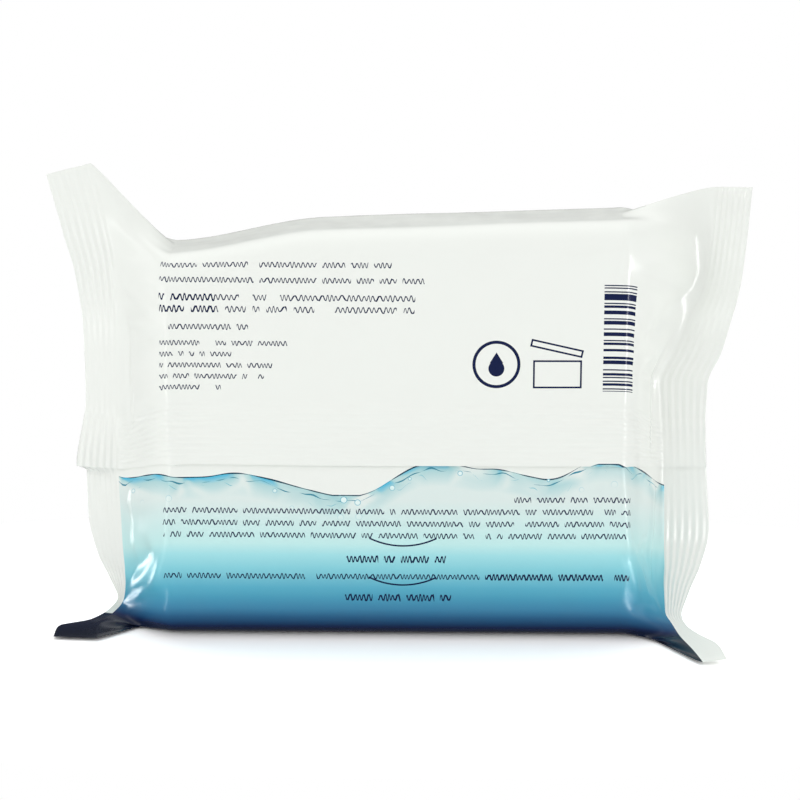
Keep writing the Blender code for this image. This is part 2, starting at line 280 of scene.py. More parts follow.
class WipesStageSettings(bpy.types.PropertyGroup):
    """Camera and background of the picture."""

    distance: length_property(
        "Camera distance", "From the camera to the point it looks at", 750 * MM)
    elevation: angle_property("Camera elevation", "Angle above the table", 14.5)
    roll: angle_property("Camera roll", "Turn about the line of sight", 0.35)
    view_angle: angle_property("View angle", "Horizontal angle of view", 15.97)
    background: colour_property("Background", "Floor and backdrop", "#FFFFFF")


def seal_guides(end):
    """The seal's places and, at each, its root point, the fin's width vector and the pull."""
    rows = np.array(LEFT_SEAL if end < 0 else RIGHT_SEAL)
    places, beyond, depth, height = rows[:, :4].T
    fin = rows[:, 4:7] * (end, 1, 1) * FIN_WIDTH
    root = np.column_stack((
        end * (HALF_LENGTH + beyond * END_LENGTH),
        depth * EAR_DEPTH,
        height * np.where(places < 1, EAR_RISE, PACK_HEIGHT),
    ))
    return places, np.hstack((root, fin, rows[:, 7:] * END_LENGTH))


def smooth_rows(knots, rows, places):
    """Read curves through the rows at the places, without swinging past any of them."""
    secants = np.diff(rows, axis=0) / np.diff(knots)[:, None]
    product = np.maximum(secants[:-1] * secants[1:], 0)
    inner = 2 * product / np.where(product > 0, secants[:-1] + secants[1:], 1)
    slopes = np.vstack((secants[:1], inner, secants[-1:]))
    index = np.clip(np.searchsorted(knots, places, side="right") - 1, 0, len(knots) - 2)
    after = index + 1
    span = (knots[after] - knots[index])[:, None]
    step = (places - knots[index])[:, None] / span
    return hermite(rows[index], slopes[index] * span, rows[after], slopes[after] * span, step)


def hermite(start, start_pull, finish, finish_pull, step):
    """Blend from start to finish, leaving along start_pull and arriving along finish_pull."""
    square = step * step
    cube = square * step
    return (
        (2 * cube - 3 * square + 1) * start
        + (cube - 2 * square + step) * start_pull
        + (3 * square - 2 * cube) * finish
        + (cube - square) * finish_pull
    )


def ease(value):
    """Rise smoothly from 0 to 1."""
    value = np.clip(value, 0, 1)
    return value * value * (3 - 2 * value)


def window(value, start, finish, soft):
    """1 between start and finish, falling to 0 over a soft edge on each side."""
    return ease((value - start) / soft) * ease((finish - value) / soft)


def unit(vectors):
    return vectors / np.maximum(np.linalg.norm(vectors, axis=-1, keepdims=True), 1e-12)


def sag(points):
    """Let the upper part of the block down at the left, and up towards the right."""
    x, z = points[:, 0], points[:, 2]
    from_left = (x + HALF_LENGTH) / TOP_DIP_RUN
    drop = TOP_DIP * (1 - ease(from_left)) - TOP_RISE * x / BLOCK_LENGTH
    upper = ease(1 - (PACK_HEIGHT - z) / TOP_DIP_DEPTH)
    return points - np.column_stack((0 * x, 0 * x, drop * upper))


def section_points(side, x, places):
    """Return the points and outward normals of half a cross-section of the block.

    Places count along it from the middle of the foot: 0 to 1 is the flat foot, 1 to 2 the
    lower edge, 2 to 3 the face, 3 to 4 the upper edge and 4 to 5 the flat top.
    """
    foot = np.array((side * FOOT_THICKNESS / 2, 0))
    head = np.array((HEAD_LEAN + side * HEAD_THICKNESS / 2, PACK_HEIGHT))
    wall = (head - foot) / np.linalg.norm(head - foot)
    turn = np.arccos(side * wall[0])
    foot_cut = EDGE_RADIUS * np.tan(turn / 2)
    head_cut = EDGE_RADIUS * np.tan((np.pi - turn) / 2)
    inward = np.array((-side * np.sin(turn), np.cos(turn)))
    foot_centre = foot - (side * foot_cut, 0) + (0, EDGE_RADIUS)
    head_centre = head - wall * head_cut + inward * EDGE_RADIUS

    piece = np.clip(places.astype(int), 0, 4)
    part = (places - piece)[:, None]
    angle = np.choose(piece, (0 * places, turn * (places - 1), turn + 0 * places,
                              turn + (np.pi - turn) * (places - 3), np.pi + 0 * places))
    outward = np.column_stack((side * np.sin(angle), -np.cos(angle)))
    centre = np.where(piece[:, None] < 2, foot_centre, head_centre)
    rounds = centre + EDGE_RADIUS * outward
    foot_end = foot - (side * foot_cut, 0)
    head_end = head - (side * head_cut, 0)
    face = foot + wall * foot_cut + (head - foot - wall * (foot_cut + head_cut)) * part
    top = head_end + ((HEAD_LEAN, PACK_HEIGHT) - head_end) * part
    points = np.choose(piece[:, None], (foot_end * part, rounds, face, rounds, top))

    along = 1 - (2 * x / BLOCK_LENGTH) ** 2
    swell = np.where(piece == 2, np.sin(np.pi * (places - 2)), 0) * FACE_BULGE * along
    points = points + outward * swell[:, None]
    spread = np.full((len(places), 1), x)
    flat = np.zeros((len(places), 1))
    return sag(np.hstack((spread, points))), np.hstack((flat, outward))


def face_place(height):
    """Return the place on a face at a height above the table."""
    return 2 + (height - EDGE_RADIUS) / (PACK_HEIGHT - 2 * EDGE_RADIUS)


def lap_table():
    """Places of the lap from below its edge up to its fold, with its height and overhang."""
    edge = LAP_EDGE_HEIGHT
    fold = edge + LAP_WIDTH
    top = LAP_THICKNESS + LAP_LIFT
    return np.array((
        (face_place(edge - LAP_STEP), 0, 0),
        (face_place(edge), 0.3 * top, LAP_OVERHANG),
        (face_place(edge + LAP_STEP), top, LAP_OVERHANG),
        (face_place(edge + 5 * LAP_STEP), top, 0),
        (face_place((edge + fold) / 2), LAP_THICKNESS, 0),
        (face_place(fold - LAP_ROUND), LAP_THICKNESS, 0),
        (face_place(fold - 0.8 * LAP_ROUND), 0.9 * LAP_THICKNESS, 0),
        (face_place(fold - 0.5 * LAP_ROUND), 0.5 * LAP_THICKNESS, 0),
        (face_place(fold - 0.2 * LAP_ROUND), 0.1 * LAP_THICKNESS, 0),
        (face_place(fold), 0, 0),
    ))


def girth_places():
    """Places round half the girth, closest together at the lap and its ridges."""
    lap = lap_table()[:, 0]
    return np.concatenate((
        np.linspace(0, 1, 9),
        np.linspace(1, 2, 15)[1:],
        np.linspace(2, lap[0], 34)[1:],
        lap[1:3],
        np.linspace(lap[3], lap[5], 48),
        np.linspace(lap[5], lap[-1], 11)[1:],
        np.linspace(lap[-1], 3, 30)[1:],
        np.linspace(3, 4, 15)[1:],
        np.linspace(4, 5, 8)[1:],
    ))


def girth_length(places):
    """Length along half the girth, from the middle of the foot, at the middle of the block."""
    points, _ = section_points(BACK, 0.0, places)
    steps = np.linalg.norm(np.diff(points, axis=0), axis=1)
    return np.concatenate(([0], np.cumsum(steps)))


def seal_places(places):
    """Where each place on the girth meets the seal: 0 lower tip, 1 lap's edge, 2 upper tip."""
    length = girth_length(places)
    edge = np.interp(face_place(LAP_EDGE_HEIGHT), places, length)
    return np.interp(length, (0, edge, length[-1]), (0, 1, 2))


def seal_frame(end, meets):
    """Return the seal's root, fin, backward normal and pull where the film meets it."""
    rows = smooth_rows(*seal_guides(end), meets)
    root, fin, pull = rows[:, :3], rows[:, 3:6], rows[:, 6:]
    climb = np.gradient(root, axis=0)
    normal = unit(np.cross(fin, climb)) * end
    return root, fin, normal, pull


def half_thickness(meets, settings):
    """Half of the fin's thickness, closing to nothing at the folded tips."""
    return np.where((meets > 0) & (meets < 2), settings.fin_thickness / 2, 0)[:, None]


def from_tips(places):
    """Distance along the film from the nearer of the two folded tips."""
    length = girth_length(places)
    return np.minimum(length, length[-1] - length)


def pleats(places, step):
    """Shallow folds that gather the film between the block's corners and the ears."""
    distance = from_tips(places)
    near = np.exp(-((distance - EAR_LENGTH) / EAR_LENGTH) ** 2)
    wave = np.cos(2 * np.pi * distance / PLEAT_PITCH)
    return (PLEAT_DEPTH * near * wave * np.sin(np.pi * step))[:, None]


def block_points(settings, end, x, side, places):
    """Points of half a ring in the block, whose columns are given by their place along it."""
    return section_points(side, x, places)


def slope_points(settings, end, step, side, places):
    """Points of half a ring between the block (step 0) and the seal's root (step 1)."""
    meets = seal_places(places)
    start, outward = section_points(side, end * HALF_LENGTH, places)
    root, fin, normal, pull = seal_frame(end, meets)
    finish = root - side * normal * half_thickness(meets, settings)
    away = ease(from_tips(places) / EAR_LENGTH)[:, None]
    leave = np.array((end, 0, 0)) * SLOPE_PULL * (0.25 + 0.75 * away)
    arrive = unit(fin) * pull
    points = hermite(start, leave, finish, arrive, step)
    normals = unit(outward * (1 - step) - side * normal * step)
    return points + normals * pleats(places, step), normals


def fin_points(settings, end, reach, side, places):
    """Points of half a ring in the fin, at a share of its width beyond the seal's root."""
    meets = seal_places(places)
    root, fin, normal, _ = seal_frame(end, meets)
    crimp = np.sin(2 * np.pi * reach * FIN_WIDTH / settings.crimp_pitch + np.pi / 4)
    pressed = 1 - CRIMP_UNEVEN + CRIMP_UNEVEN * np.sin(meets * CRIMP_SWELL + 2 * end)
    above_ear = EAR_CRIMP + (1 - EAR_CRIMP) * ease((meets - 0.1) / 0.35)
    crimp = (crimp * pressed * above_ear)[:, None]
    points = root + fin * reach + normal * settings.crimp_depth * crimp
    half = half_thickness(meets, settings) * (reach < 1)
    return points - side * normal * half, -side * normal


def ring(half, settings):
    """Join the back and the front half of a ring, from the bottom fold round to it again."""
    places = girth_places()
    table = lap_table()
    back, normals = half(BACK, places)
    lift = np.interp(places, table[:, 0], table[:, 1])[:, None]
    overhang = np.interp(places, table[:, 0], table[:, 2])[:, None]
    down = -unit(np.gradient(back, axis=0))
    back = back + normals * lift + down * overhang
    front, _ = half(FRONT, places)
    rounds = np.vstack((back, front[-2::-1]))
    floor = np.full(len(rounds), TABLE_CLEARANCE)
    floor[1:len(places) - 1] += settings.fin_thickness
    rounds[:, 2] = np.maximum(rounds[:, 2], floor)
    return rounds


def film_columns():
    """Every column of the sheet: its place along the film, and the part and share it belongs to."""
    reaches = np.linspace(1, 0, FIN_STEPS + 1)
    steps = np.linspace(1, 0, SLOPE_STEPS + 1)[1:-1]
    block = np.linspace(-HALF_LENGTH, HALF_LENGTH, BLOCK_STEPS + 1)
    left = [("fin", -1, r) for r in reaches] + [("slope", -1, s) for s in steps]
    right = [(kind, 1, share) for kind, _, share in reversed(left)]
    return left + [("block", 0, x) for x in block] + right


def column_along(kind, end, share):
    """Distance along the flat film from its middle."""
    if kind == "block":
        return share
    if kind == "slope":
        return end * (HALF_LENGTH + SLOPE_LENGTH * share)
    return end * (HALF_LENGTH + SLOPE_LENGTH + FIN_WIDTH * share)


FILM_LENGTH = 2 * (HALF_LENGTH + SLOPE_LENGTH + FIN_WIDTH)
GIRTH_LENGTH = girth_length(girth_places())
HALF_GIRTH = GIRTH_LENGTH[-1]
GIRTH = 2 * HALF_GIRTH
LAP_EDGE = float(np.interp(face_place(LAP_EDGE_HEIGHT), girth_places(), GIRTH_LENGTH))


def slow_waves(along, girth, seed, lengths, shift):
    """A smooth irregular wave over the sheet: sines with seeded directions and phases."""
    draw = np.random.default_rng(seed)
    total = 0 * along
    for length in lengths:
        phase, tilt = draw.uniform(0, 2 * np.pi), draw.uniform(-WAVE_TILT, WAVE_TILT)
        turns = girth / length + along * (tilt / length + shift)
        total = total + np.sin(2 * np.pi * turns + phase)
    return total / len(lengths)


def crease_heights(along, girth):
    """Height of all creases over the sheet, each a soft ridge that fades at its two ends."""
    total = 0 * along
    for along_0, girth_0, along_1, girth_1, width, height in np.array(CREASES) * MM:
        run = np.array((along_1 - along_0, girth_1 - girth_0))
        share = ((along - along_0) * run[0] + (girth - girth_0) * run[1]) / run.dot(run)
        inside = np.clip(share, 0, 1)
        gap = np.hypot(along - along_0 - inside * run[0], girth - girth_0 - inside * run[1])
        fade = ease(4 * inside) * ease(4 - 4 * inside)
        total = total + height * np.exp(-(gap / width) ** 2) * fade
    return total


def relief(along, girth, points, settings):
    """Fine relief of the film: the back seal's ridges, gathers on the ends, slack and creases."""
    outer = np.abs(along)
    slope = window(outer, HALF_LENGTH - 2 * MM, HALF_LENGTH + SLOPE_LENGTH, 7 * MM)
    block = ease((HALF_LENGTH + 6 * MM - outer) / (12 * MM))
    ridges = window(girth, LAP_EDGE + 0.6 * MM, LAP_EDGE + LAP_WIDTH - 1 * MM, 0.8 * MM)
    ridges = ridges * ease((HALF_LENGTH + SLOPE_LENGTH - outer) / (3 * MM))
    near_end = ease((outer - 0.7 * HALF_LENGTH) / (0.25 * HALF_LENGTH))
    ridges = ridges * (LAP_MIDDLE_DEPTH + (1 - LAP_MIDDLE_DEPTH) * near_end)
    wave = np.sin(2 * np.pi * (girth - LAP_EDGE) / settings.lap_pitch)
    heights = ridges * settings.lap_depth * wave
    heights = heights + slope * settings.gather_depth * slow_waves(along, girth, *GATHERS)
    heights = heights + block * settings.slack_depth * slow_waves(along, girth, *SLACK)
    heights = heights + crease_heights(along, girth)
    return heights * ease((points[..., 2] - 2 * MM) / (8 * MM))


def film_surface(settings):
    """Points of the whole sheet by row and column, with its distances along and round."""
    columns = film_columns()
    shapes = {"fin": fin_points, "slope": slope_points, "block": block_points}
    rings = [ring(partial(shapes[kind], settings, *part), settings) for kind, *part in columns]
    points = np.stack(rings, axis=1)
    along = np.array([column_along(*column) for column in columns])
    girth = np.concatenate((GIRTH_LENGTH, GIRTH - GIRTH_LENGTH[-2::-1]))
    along_grid, girth_grid = np.meshgrid(along, girth)

    climb = np.gradient(points, axis=0)
    stretch = np.gradient(points, axis=1)
    normals = unit(np.cross(stretch, climb))
    half = len(GIRTH_LENGTH)
    climbed = printed_heights(points, half, [kind == "block" for kind, _, _ in columns])
    points = points + normals * relief(along_grid, girth_grid, points, settings)[..., None]
    points[-1] = points[0]
    for edge in (0, -1):
        middle = (points[:half, edge] + points[half - 1:, edge][::-1]) / 2
        points[:half, edge] = middle
        points[half - 1:, edge] = middle[::-1]
    return points, along, climbed


def printed_heights(points, half, on_block):
    """Share of the girth at every point, for the print: true lengths up each face of the block."""
    steps = np.linalg.norm(np.diff(points, axis=0), axis=2)
    back = np.vstack((0 * steps[:1], np.cumsum(steps[:half - 1], axis=0)))
    front = np.vstack((0 * steps[:1], np.cumsum(steps[:half - 2:-1], axis=0)))[::-1]
    lengths = np.vstack((back, GIRTH - front[1:]))
    first, last = np.flatnonzero(on_block)[[0, -1]]
    lengths[:, :first] = lengths[:, first:first + 1]
    lengths[:, last + 1:] = lengths[:, last:last + 1]
    return lengths / GIRTH


def grid_mesh(name, layer, columns, rows, half):
    """A flat square grid of quads, with a UV map."""
    bm = bmesh.new()
    bm.loops.layers.uv.new(layer)
    bmesh.ops.create_grid(bm, x_segments=columns, y_segments=rows, size=half, calc_uvs=True)
    mesh = bpy.data.meshes.new(name)
    bm.to_mesh(mesh)
    bm.free()
    return mesh


def sheet_mesh(name, layer, points, across, up):
    """A grid of quads laid over the points, with a UV map of its places across and up."""
    last = np.array(points.shape[:2][::-1]) - 1
    mesh = grid_mesh(name, layer, *last.tolist(), 0.5)
    flat = np.zeros((len(mesh.vertices), 3))
    mesh.vertices.foreach_get("co", flat.ravel())
    column, row = np.rint((flat[:, :2] + 0.5) * last).astype(int).T
    mesh.vertices.foreach_set("co", points[row, column].ravel())
    corners = np.zeros((len(mesh.loops), 2))
    mesh.uv_layers[layer].data.foreach_get("uv", corners.ravel())
    column, row = np.rint(corners * last).astype(int).T
    corners = np.column_stack((across[row, column], up[row, column]))
    mesh.uv_layers[layer].data.foreach_set("uv", corners.ravel())
    return mesh


def weld(mesh):
    """Join the sheet's edges where they meet, at the bottom fold and the fins' cut edges."""
    bm = bmesh.new()
    bm.from_mesh(mesh)
    bmesh.ops.remove_doubles(bm, verts=bm.verts, dist=1e-7)
    bm.to_mesh(mesh)
    bm.free()
    mesh.shade_smooth()
    mesh.set_sharp_from_angle(angle=np.radians(55))


def add_object(name, data):
    """Add an object to the scene."""
    made = bpy.data.objects.new(name, data)
    bpy.context.scene.collection.objects.link(made)
    return made


def put_in_scene(name, mesh, node):
    """Put a finished mesh in the scene, in place of its frame node and on the frame's one body."""
    piece = add_object(name, mesh)
    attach(piece, "root")
    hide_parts(node)
    return piece


def feed(node, inputs):
    """Link or set a node's inputs, in their order or by name."""
    for key, value in inputs.items() if isinstance(inputs, dict) else enumerate(inputs):
        if isinstance(value, bpy.types.NodeSocket):
            node.id_data.links.new(value, node.inputs[key])
        else:
            node.inputs[key].default_value = value


def add_node(tree, kind, inputs=(), out=0, stops=(), **settings):
    """Add a node with its settings, its inputs and its ramp's stops.

    The kind is a node's type, or just the operation of a Math node. Returns the output that is
    asked for, or the node itself where out is None.
    """
    if kind.isupper():
        kind, settings["operation"] = "ShaderNodeMath", kind
    made = tree.nodes.new(kind)
    for name, value in settings.items():
        setattr(made, name, value)
    feed(made, inputs)
    for number, (at, colour) in enumerate(stops):
        if number < len(made.color_ramp.elements):
            stop = made.color_ramp.elements[number]
            stop.position = at
        else:
            stop = made.color_ramp.elements.new(at)
        stop.color = (*colour, 1)
    return made if out is None else made.outputs[out]


def new_material(name):
    """A material, its shader, and the function that adds nodes to it."""
    made = bpy.data.materials.new(name)
    made.use_nodes = True
    return made, made.node_tree.nodes["Principled BSDF"], partial(add_node, made.node_tree)


NOISE = "ShaderNodeTexNoise"
RANGE = "ShaderNodeMapRange"
RANDOM = "ShaderNodeTexWhiteNoise"
VECTOR = "ShaderNodeVectorMath"
SPLIT = "ShaderNodeSeparateXYZ"
# Takes its factor as input 0, with values as 2 and 3, or colours as 6 and 7 and as output 2
MIX = "ShaderNodeMix"


def wander(add, way, limits, reach=(0.3, 0.7), dimensions="1D", **inputs):
    """Noise along a line or over the sheet, with its usual reach stretched to new limits."""
    inputs["W" if dimensions == "1D" else "Vector"] = way
    noise = add(NOISE, inputs, noise_dimensions=dimensions)
    return add(RANGE, (noise, *reach, *limits))


def beyond_box(add, place, centre, half):
    """How far a place is from a box round the centre, in each direction."""
    offset = add(VECTOR, (place, centre), operation="SUBTRACT")
    offset = add(VECTOR, (offset,), operation="ABSOLUTE")
    return add(VECTOR, (offset, half), operation="SUBTRACT")


# What each block of fine print is given, and the blocks on the back, in millimetres on the
# sheet. Wave is the length of a cell with WAVES_A_CELL waves, ragged is the share of a row that
# may be missing at its end, and weight is half the line.
ROW_SIZES = ("Left", "Right", "Bottom", "Top", "Pitch", "Height", "Wave", "Ragged left",
             "Ragged right", "Weight", "Seed")
PRINT_BLOCKS = (
    (-63, 10, 112.9, 119.6, 4.1, 1.3, 1.5, 0, 0.25, 0.13, 1),
    (-63, 30, 105.1, 110.9, 3.1, 1.5, 1.8, 0, 0.5, 0.14, 2),
    (-63, -42, 105.1, 110.9, 3.1, 1.5, 1.8, 0, 0.5, 0.21, 2),
    (-63, -36, 100.5, 103.0, 3.2, 1.3, 1.5, 0, 0.2, 0.13, 3),
    (-63, -28, 84.5, 99.1, 2.95, 1.15, 1.4, 0, 0.55, 0.125, 4),
    (-62, 63, 43.4, 53.2, 3.3, 1.3, 1.5, 0, 0, 0.14, 5),
    (28, 63, 53.3, 56.0, 3.4, 1.3, 1.5, 0.2, 0, 0.14, 9),
    (-13, 14, 36.8, 39.8, 3.0, 1.5, 1.5, 0.05, 0.05, 0.2, 6),
    (-62, 63, 32.1, 34.9, 3.4, 1.3, 1.5, 0, 0, 0.14, 7),
    (24, 63, 32.1, 34.9, 3.4, 1.3, 1.5, 0, 0, 0.22, 7),
    (-14, 16, 26.2, 29.2, 3.0, 1.5, 1.5, 0.05, 0.05, 0.2, 8),
)
WAVES_A_CELL = 1.3
GAPS_BETWEEN_WORDS = 0.17
ROW_FOOT = 0.3

# Plain signs on the back, in millimetres on the sheet, with half the width of their lines
RING_CENTRE = (26.3, 92.0, 0)
RING_RADIUS = 5.9
RING_LINE = 0.42
DROP_CENTRE = (26.3, 90.9, 0)
DROP_RADIUS = 2.1
DROP_TIP_CENTRE = (26.3, 92.4, 0)
DROP_TIP_HALF = 1.75
DROP_TIP_SHAPE = (1.0, 0.62, 0)
# The jar and its open lid: centre, half the size, turn
JAR_BOXES = (((42.4, 89.4, 0), (6.2, 3.5, 0), 0), ((42.2, 96.3, 0), (6.8, 0.8, 0), 0.22))
JAR_LINE = 0.24
ARC_CENTRES = ((2, 61.6, 0), (2, 50.8, 0))
ARC_RADIUS = 20
ARC_HALF_LENGTH = 9
ARC_LINE = 0.22
BAR_STEP = 0.34
BAR_SEED = 71
BAR_GAPS = 0.45
# Centre and half the size of the block of bars
BARS_ALONG = (58.8, 4.4)
BARS_UP = (99.0, 14.2)


def print_rows_group():
    """Rows of thin wavy lines, broken up like words: the look of fine print from a step away."""
    tree = bpy.data.node_groups.new("print_rows", "ShaderNodeTree")
    tree.interface.new_socket(name="Place", in_out="INPUT", socket_type="NodeSocketVector")
    for name in ROW_SIZES:
        tree.interface.new_socket(name=name, in_out="INPUT", socket_type="NodeSocketFloat")
    tree.interface.new_socket(name="Mask", in_out="OUTPUT", socket_type="NodeSocketFloat")
    add = partial(add_node, tree)
    (place, left, right, bottom, top, pitch, height, wave, ragged_left, ragged_right, weight,
     seed) = add("NodeGroupInput", out=None).outputs[:-1]
    along, high, _ = add(SPLIT, (place,), None).outputs

    # The row that a point is in, and its height over the row's foot
    rise = add("SUBTRACT", (high, bottom))
    count = add("DIVIDE", (rise, pitch))
    index = add("FLOOR", (count,))
    within = add("FRACT", (count,))
    up = add("MULTIPLY", (within, pitch))

    # Where the row starts and stops
    seat = add("ShaderNodeCombineXYZ", (index, seed))
    draw = add(RANDOM, (seat,), noise_dimensions="2D")
    width = add("SUBTRACT", (right, left))
    cut = add("MULTIPLY", (width, draw))
    start = add("MULTIPLY_ADD", (cut, ragged_left, left))
    short = add("MULTIPLY", (cut, ragged_right))
    stop = add("SUBTRACT", (right, short))

    # Words: about one cell in six is left out
    turns = add("DIVIDE", (along, wave))
    cell = add("FLOOR", (turns,))
    shifted = add("MULTIPLY_ADD", (seed, 17.3, index))
    seat = add("ShaderNodeCombineXYZ", (cell, shifted))
    draw = add(RANDOM, (seat,), noise_dimensions="2D")
    word = add("GREATER_THAN", (draw, GAPS_BETWEEN_WORDS))

    # The line: a sine whose pace and height wander
    row = add("MULTIPLY_ADD", (shifted, 37.7, along))
    drift = add(NOISE, {"W": row, "Scale": 0.32, "Detail": 0}, noise_dimensions="1D")
    phase = add("MULTIPLY_ADD", (turns, WAVES_A_CELL, drift))
    phase = add("MULTIPLY", (phase, 2 * np.pi))
    tall = wander(add, row, (0.34, 0.5), (0.36, 0.64), Scale=0.55, Detail=1)
    tall = add("MULTIPLY", (tall, height))
    swing = add("SINE", (phase,))
    middle = add("MULTIPLY_ADD", (height, 0.5, ROW_FOOT))
    curve = add("MULTIPLY_ADD", (swing, tall, middle))

    # It is as thick on its flanks as on its turns
    slope = add("COSINE", (phase,))
    slope = add("MULTIPLY", (slope, tall))
    slope = add("DIVIDE", (slope, wave))
    slope = add("MULTIPLY", (slope, 2 * np.pi * WAVES_A_CELL))
    steep = add("MULTIPLY_ADD", (slope, slope, 1))
    steep = add("SQRT", (steep,))
    thick = add("MULTIPLY", (steep, weight))
    mask = add("COMPARE", (up, curve, thick))

    mask = add("MULTIPLY", (mask, word))
    for less, more in ((start, along), (along, stop), (bottom, high), (high, top)):
        inside = add("LESS_THAN", (less, more))
        mask = add("MULTIPLY", (mask, inside))
    add("NodeGroupOutput", (mask,), None)
    return tree


def printed_signs(add, place):
    """Masks of the plain signs: a ring with a drop, an open jar, thin arcs and a block of bars."""
    along, high, _ = add(SPLIT, (place,), None).outputs
    away = add(VECTOR, (place, RING_CENTRE), "Value", operation="DISTANCE")
    masks = [add("COMPARE", (away, RING_RADIUS, RING_LINE))]
    away = add(VECTOR, (place, DROP_CENTRE), "Value", operation="DISTANCE")
    masks.append(add("LESS_THAN", (away, DROP_RADIUS)))
    offset = beyond_box(add, place, DROP_TIP_CENTRE, (0, 0, 0))
    reach = add(VECTOR, (offset, DROP_TIP_SHAPE), "Value", operation="DOT_PRODUCT")
    masks.append(add("LESS_THAN", (reach, DROP_TIP_HALF)))

    for centre, half, angle in JAR_BOXES:
        turned = add("ShaderNodeVectorRotate",
                     {"Vector": place, "Center": centre, "Angle": angle}, rotation_type="Z_AXIS")
        beyond, over, _ = add(SPLIT, (beyond_box(add, turned, centre, half),), None).outputs
        outside = add("MAXIMUM", (beyond, over))
        masks.append(add("COMPARE", (outside, 0, JAR_LINE)))

    # Thin arcs over the two short rows
    for centre in ARC_CENTRES:
        away = add(VECTOR, (place, centre), "Value", operation="DISTANCE")
        arc = add("COMPARE", (away, ARC_RADIUS, ARC_LINE))
        near = add("COMPARE", (along, centre[0], ARC_HALF_LENGTH))
        lower = add("LESS_THAN", (high, centre[1]))
        for mask in (near, lower):
            arc = add("MULTIPLY", (arc, mask))
        masks.append(arc)

    # Bars: each step up the block is inked or bare, by a seeded draw
    step = add("DIVIDE", (high, BAR_STEP))
    step = add("FLOOR", (step,))
    step = add("ADD", (step, BAR_SEED))
    draw = add(RANDOM, {"W": step}, noise_dimensions="1D")
    bars = add("GREATER_THAN", (draw, BAR_GAPS))
    for way, sizes in ((along, BARS_ALONG), (high, BARS_UP)):
        inside = add("COMPARE", (way, *sizes))
        bars = add("MULTIPLY", (bars, inside))
    return masks + [bars]


# The printed water, in millimetres on the sheet: the height of its surface, the rise that its
# gradient spans, and how far the print reaches along the film, more so underneath
WATER_LEVEL = (55.5, 65.5)
WATER_FADE = 60
PRINT_HALF_LENGTH = 80
UNDERSIDE_RISE = 17
UNDERSIDE_EXTRA = 12.5

FILM_ROUGHNESS = (0.19, 0.26)

# Bubbles: cells a millimetre, the share of cells that are empty, and radii and rim in cells
BUBBLE_CELLS = 0.22
BUBBLES_MISSING = 0.72
BUBBLE_RADII = (0.06, 0.2)
BUBBLE_RIM = 0.022

# The dark lines of the water's surface: depth below it, half the line at most, colour
SURFACE_LINES = ((0.15, 0.32, "#1C4257"), (0.8, 0.24, "#3A8AA0"), (1.6, 0.12, "#84C3CE"))


def printed_water(add, along, rise, below, place, settings):
    """Colour of the printed water: a gradient, a bright rim, thin dark lines and bubbles."""
    # From pale under the surface to dark blue at the bottom fold. The two stops below the deep
    # blue, on the underside and the left ear within some 16 mm of the fold, are darker still: print
    # with painted shade of the pack's underside
    depth = add("DIVIDE", (rise, WATER_FADE))
    water = add("ShaderNodeValToRGB", (depth,), stops=(
        (0.0, linear("#0B1326")), (0.27, linear("#0E1A36")), (0.30, settings.water_deep),
        (0.32, linear("#1B4068")), (0.36, linear("#2C6189")), (0.40, linear("#3F84A9")),
        (0.45, settings.water_blue), (0.50, linear("#5BB0C9")), (0.59, linear("#88D1DD")),
        (0.65, settings.water_middle), (0.70, linear("#C2EBEA")), (0.9, settings.water_light)))

    # Cyan and pale patches some 12 mm across, strongest just under the surface
    rim = add(RANGE, (below, 0.2, 6.5, 1, 0))
    crest = add(RANGE, (below, 0.2, 2.2, 1, 0))
    patches = add(NOISE, {"Vector": place, "Scale": 0.085, "Detail": 1.3, "Distortion": 0.9},
                  noise_dimensions="2D")
    layers = []
    for fade, limits, tint in (
        (rim, (0.36, 0.6, 0.1, 0.58), settings.water_edge),
        (crest, (0.55, 0.66, 0, 0.8), settings.water_glint),
        (rim, (0.43, 0.33, 0, 0.75), settings.white),
    ):
        mask = add(RANGE, (patches, *limits))
        layers.append((add("MULTIPLY", (fade, mask)), tint))

    # The surface: one dark line, and two broken ones that stray from it like a crest's far side
    for number, (deep, wide, tint) in enumerate(SURFACE_LINES):
        more = 0.05 * number
        reach = (0.36 + 0.06 * number, 0.7)
        thick = wander(add, along, (0.03 - more, wide), reach, Scale=0.11 + more, Detail=1)
        stray = wander(add, along, (0, 1.56 * number), Scale=0.07 + more, Detail=1)
        stray = add("ADD", (stray, deep))
        layers.append((add("COMPARE", (below, stray, thick)), linear(tint)))

    # Bubbles under it, in one cell of some 4.5 mm in four, up to 2 mm wide
    cells = add("ShaderNodeTexVoronoi", {"Vector": place, "Scale": BUBBLE_CELLS}, None,
                voronoi_dimensions="2D").outputs
    pick, size, _ = add("ShaderNodeSeparateColor", (cells["Color"],), None).outputs
    wide = add(RANGE, (size, 0, 1, *BUBBLE_RADII))
    chosen = add("GREATER_THAN", (pick, BUBBLES_MISSING))
    near = add(RANGE, (below, 1, 8, 1, 0))
    chosen = add("MULTIPLY", (chosen, near))
    inner = add("LESS_THAN", (cells["Distance"], wide))
    edge = add("COMPARE", (cells["Distance"], wide, BUBBLE_RIM))
    for mask, tint in ((inner, "#E6F6F4"), (edge, "#6FB9CB")):
        layers.append((add("MULTIPLY", (mask, chosen)), linear(tint)))

    for mask, tint in layers:
        water = add(MIX, {0: mask, 6: water, 7: (*tint, 1)}, 2, data_type="RGBA")
    return water


